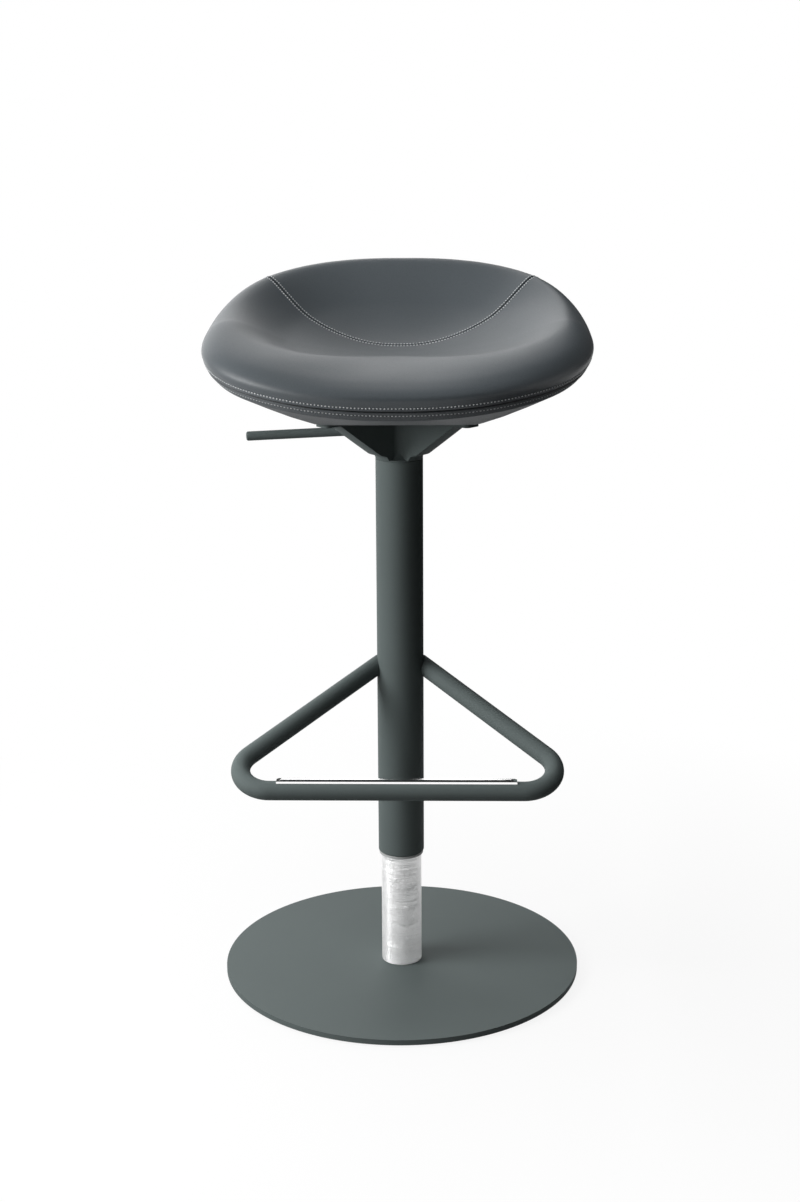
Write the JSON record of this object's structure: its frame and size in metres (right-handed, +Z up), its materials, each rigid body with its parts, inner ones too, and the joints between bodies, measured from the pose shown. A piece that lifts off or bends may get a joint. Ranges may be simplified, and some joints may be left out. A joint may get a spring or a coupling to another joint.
{
  "type": "swivel stool",
  "caption": "Height-adjustable swivel bar stool with a disc base, a telescopic column, a triangular footrest, a release lever and a dished leather seat.",
  "frame": {"origin": "on the floor, on the column's axis", "axes": "+Z up, -Y to the sitter's front, -X to the sitter's right, where the lever is"},
  "size_m": [0.4018, 0.4, 0.7841],
  "materials": {
    "grey_paint": "fine matt powder coat",
    "bright_steel": "satin to polished",
    "plain_steel": "plain turned",
    "leather": "smooth, stitched",
    "foam": "open-cell foam",
    "plywood": "moulded plywood",
    "grey_plastic": "moulded",
    "black_plastic": "moulded",
    "rubber": "matt"
  },
  "bodies": {
    "base": {"base_plate": "grey_paint", "floor_ring": "black_plastic", "post": "bright_steel", "post_foot": "plain_steel", "base_screw_1": "plain_steel", "base_screw_2": "plain_steel", "base_screw_3": "plain_steel", "base_screw_4": "plain_steel", "guide_bush": "black_plastic", "thrust_race_lower": "plain_steel", "thrust_ball_cage": "plain_steel"},
    "rod": {"thrust_race_upper": "plain_steel", "piston_rod": "bright_steel", "piston": "black_plastic", "rod_clip": "plain_steel", "bump_stop": "rubber"},
    "column": {"gas_cylinder": "plain_steel", "rod_guide": "black_plastic", "column_tube": "grey_paint", "column_bush": "grey_plastic", "column_collar": "plain_steel", "footrest_loop": "grey_paint", "footrest_strip": "bright_steel", "seat_bracket": "grey_paint", "bracket_screw_1": "plain_steel", "bracket_screw_2": "plain_steel", "bracket_screw_3": "plain_steel", "bracket_screw_4": "plain_steel", "seat_insert_1": "plain_steel", "seat_insert_2": "plain_steel", "seat_insert_3": "plain_steel", "seat_insert_4": "plain_steel", "seat_shell": "plywood", "seat_foam": "foam", "seat_cover_front": "leather", "seat_cover_back": "leather", "seat_cover_under": "leather", "lever_pin": "plain_steel"},
    "lever": {"release_lever": "grey_paint"},
    "pin": {"release_pin": "plain_steel"}
  },
  "joints": [
    {"name": "swivel", "type": "hinge", "parent": "base", "child": "rod", "pos_m": [0, 0, 0.0328], "axis": [0, 0, 1], "continuous": true},
    {"name": "lift", "type": "slide", "parent": "rod", "child": "column", "axis": [0, 0, 1], "range_m": [-0.118, 0.13]},
    {"name": "lever_pull", "type": "hinge", "parent": "column", "child": "lever", "pos_m": [-0.022, 0, 0.6218], "axis": [0, 1, 0], "range_deg": [0, 8], "stiffness_Nm_per_rad": 1, "springref_deg": -5.73},
    {"name": "valve_push", "type": "slide", "parent": "column", "child": "pin", "axis": [0, 0, 1], "range_m": [-0.0034, 0]}
  ],
  "couplings": [
    {"joint": "valve_push", "follows": "lever_pull", "m_per_rad": -0.0235}
  ]
}
